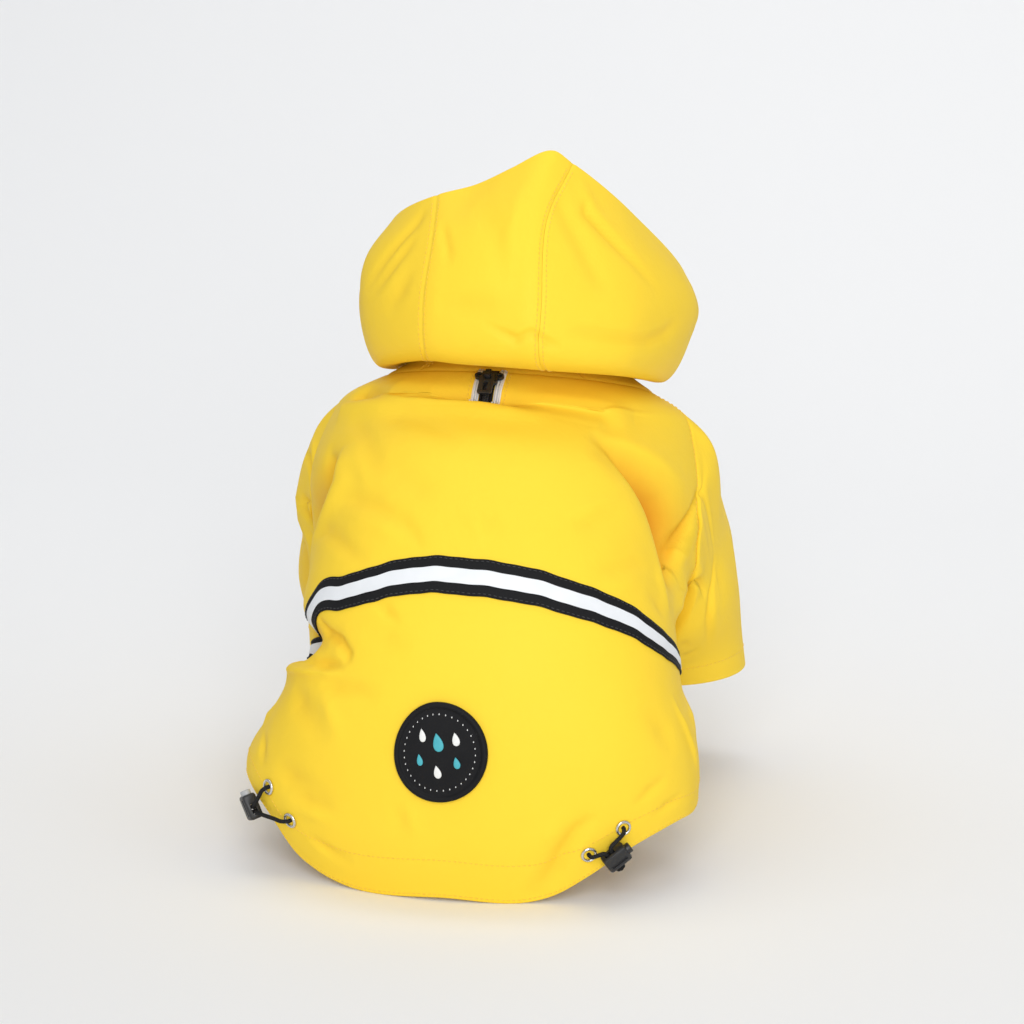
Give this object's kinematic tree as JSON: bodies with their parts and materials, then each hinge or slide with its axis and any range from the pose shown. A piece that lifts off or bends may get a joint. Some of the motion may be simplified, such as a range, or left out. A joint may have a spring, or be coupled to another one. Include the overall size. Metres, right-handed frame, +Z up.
{
  "type": "hooded dog raincoat",
  "caption": "Hooded dog raincoat in its worn, hollow, sitting form: raglan sleeves, waist tape with a bright stripe, neck zip, round badge and a cord lock at each side of the hem.",
  "frame": {"origin": "at the withers, just inside the middle of the back, where the coat hangs on the wearer", "axes": "+X toward the wearer's right, +Y forward toward the wearer's head, +Z up"},
  "size_m": [0.24, 0.2909, 0.3488],
  "materials": {
    "shell": "waterproof coated cloth, slight sheen",
    "black_tape": "matt woven tape",
    "silver_tape": "reflective coated tape",
    "rubber": "matt moulded rubber",
    "plastic": "moulded, satin",
    "metal": "nickel plated",
    "cord": "braided elastic cord"
  },
  "bodies": {
    "coat": {"back_panel": "shell", "front_panel": "shell", "sleeve_right": "shell", "sleeve_left": "shell", "hood_left": "shell", "hood_centre": "shell", "hood_right": "shell", "band": "black_tape", "band_stripe": "silver_tape", "zip_tape": "black_tape", "zip_edge_left": "silver_tape", "zip_edge_right": "silver_tape", "zip_slider": "plastic", "badge": "rubber", "eyelet_left_upper": "metal", "eyelet_left_lower": "metal", "eyelet_right_upper": "metal", "eyelet_right_lower": "metal", "lock_left": "plastic", "lock_right": "plastic", "cord_left": "cord", "cord_right": "cord"},
    "pull": {"zip_pull": "plastic"},
    "button_left_body": {"button_left": "plastic"},
    "button_right_body": {"button_right": "plastic"}
  },
  "joints": [
    {"name": "zip_pull_hinge", "type": "hinge", "parent": "coat", "child": "pull", "pos_m": [-0.00002, 0.03864, 0.02782], "axis": [-1, 0.0013, -0.0027], "range_deg": [0, 33]},
    {"name": "button_left_press", "type": "slide", "parent": "coat", "child": "button_left_body", "axis": [0.416, -0.1408, -0.8984], "range_m": [0, 0.0015], "stiffness_N_per_m": 300, "springref_m": -0.002},
    {"name": "button_right_press", "type": "slide", "parent": "coat", "child": "button_right_body", "axis": [-0.7398, -0.3156, -0.5942], "range_m": [0, 0.0015], "stiffness_N_per_m": 300, "springref_m": -0.002}
  ]
}
